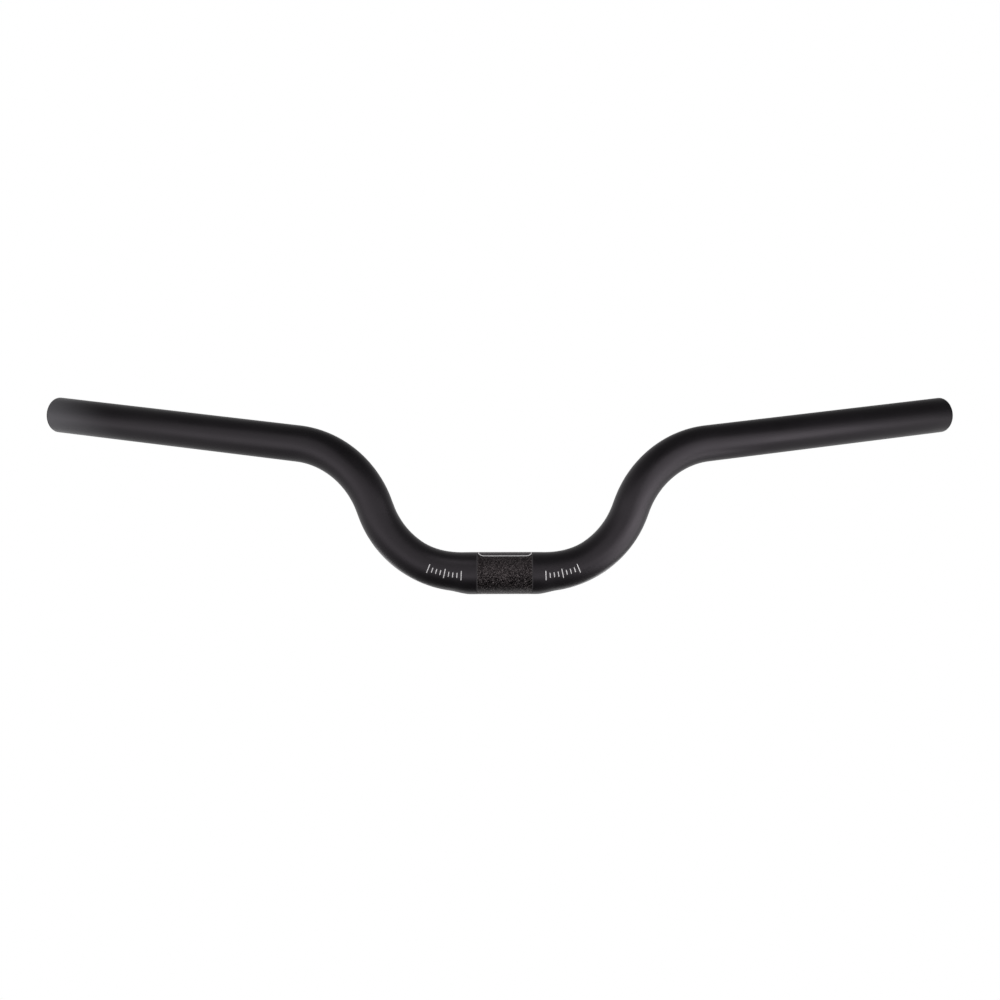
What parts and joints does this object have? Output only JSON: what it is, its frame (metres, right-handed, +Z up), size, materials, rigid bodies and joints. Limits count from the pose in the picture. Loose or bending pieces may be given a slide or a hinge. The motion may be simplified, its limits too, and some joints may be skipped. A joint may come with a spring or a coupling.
{
  "type": "folding bicycle handlebar",
  "caption": "Black rise handlebar for a folding bicycle: one bent tube, thicker and textured where the stem clamps it, with straight grips swept up and back.",
  "frame": {"origin": "middle of the stem clamp zone, on its axis", "axes": "+X along the clamp zone to the rider's left, +Y back to the rider, +Z up, the way the bar rises"},
  "size_m": [0.5706, 0.0542, 0.1217],
  "materials": {
    "satin_black": "satin black anodised"
  },
  "bodies": {
    "root": {"handlebar": "satin_black"}
  },
  "joints": []
}
